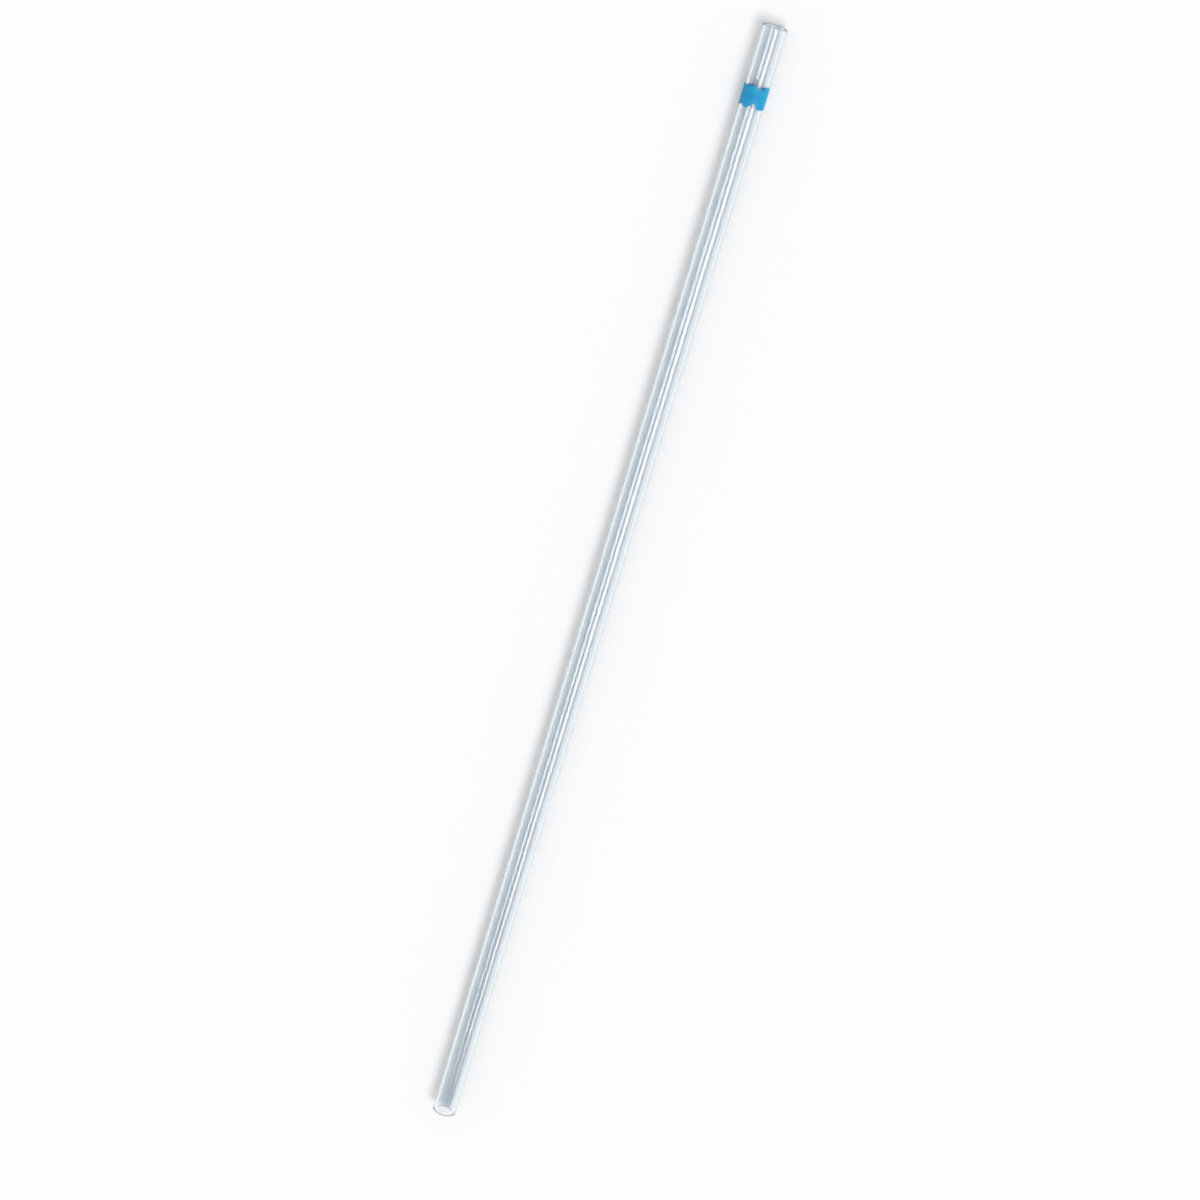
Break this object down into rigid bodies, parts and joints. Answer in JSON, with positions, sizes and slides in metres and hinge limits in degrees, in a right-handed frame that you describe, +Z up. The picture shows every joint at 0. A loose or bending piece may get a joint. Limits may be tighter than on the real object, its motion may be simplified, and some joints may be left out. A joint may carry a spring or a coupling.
{
  "type": "glass capillary tube",
  "caption": "Thin straight glass tube, open at both ends with a fine through bore, flame-rounded rims and a blue colour-code band near one end.",
  "frame": {"origin": "on the surface the tube lies on, under the middle of its length", "axes": "+X along the tube towards its banded end, +Z up from the surface"},
  "size_m": [0.075, 0.0016, 0.0016],
  "materials": {
    "clear_glass": "clear drawn soda-lime glass, flame-polished ends",
    "blue_ink": "fired cyan-blue ink, uneven, low gloss"
  },
  "bodies": {
    "root": {"glass_tube": "clear_glass", "colour_band": "blue_ink"}
  },
  "joints": []
}
